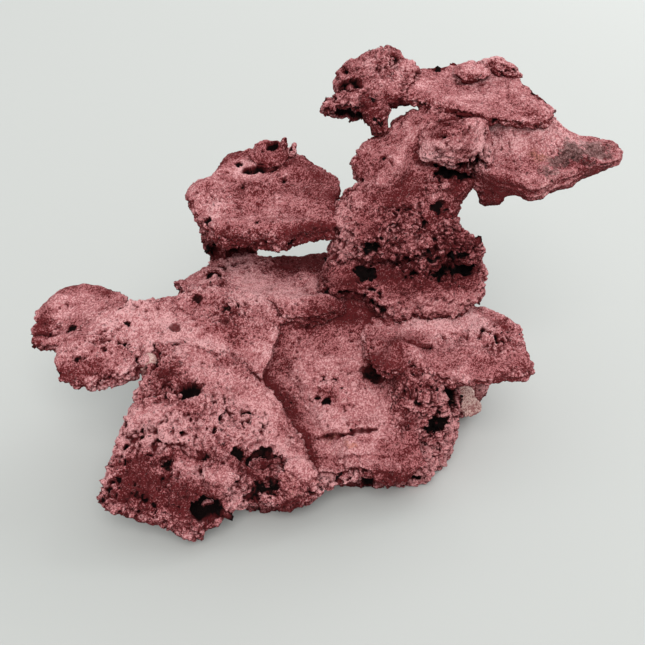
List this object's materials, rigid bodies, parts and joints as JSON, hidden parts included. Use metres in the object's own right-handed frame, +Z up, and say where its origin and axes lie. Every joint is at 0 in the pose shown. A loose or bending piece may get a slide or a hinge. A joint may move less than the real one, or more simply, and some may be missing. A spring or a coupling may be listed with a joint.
{
  "type": "aquarium reef rock",
  "caption": "Reef rock of bonded porous slabs: a low base, a leaning column and overhanging shelves for corals, with gaps that fish swim through.",
  "frame": {"origin": "middle of the rock's footprint box, on the floor it stands on", "axes": "+Z up, +X to the right along the rock's length, +Y to the back"},
  "size_m": [0.4416, 0.2607, 0.2823],
  "materials": {
    "rose_crust": "matt sandy crust, dusty rose",
    "dusk_crust": "matt sandy crust, darker mauve",
    "porous_rubble": "matt, open pores, dark red in the hollows",
    "mortar": "matt, pale pinkish"
  },
  "bodies": {
    "root": {"centre_slab": "dusk_crust", "right_shelf": "rose_crust", "left_slab": "rose_crust", "front_block": "dusk_crust", "far_left_plate": "rose_crust", "back_slab": "dusk_crust", "column_foot": "porous_rubble", "column_stone": "porous_rubble", "cave_rubble": "porous_rubble", "upper_column": "dusk_crust", "neck_stone": "dusk_crust", "shelf_prop": "porous_rubble", "upper_left_shelf": "rose_crust", "top_left_crag": "dusk_crust", "top_shelf": "rose_crust", "upper_right_shelf": "rose_crust", "base_front": "porous_rubble", "base_right": "porous_rubble", "base_rear": "porous_rubble", "front_foot": "porous_rubble", "mortar_strip": "mortar"}
  },
  "joints": []
}
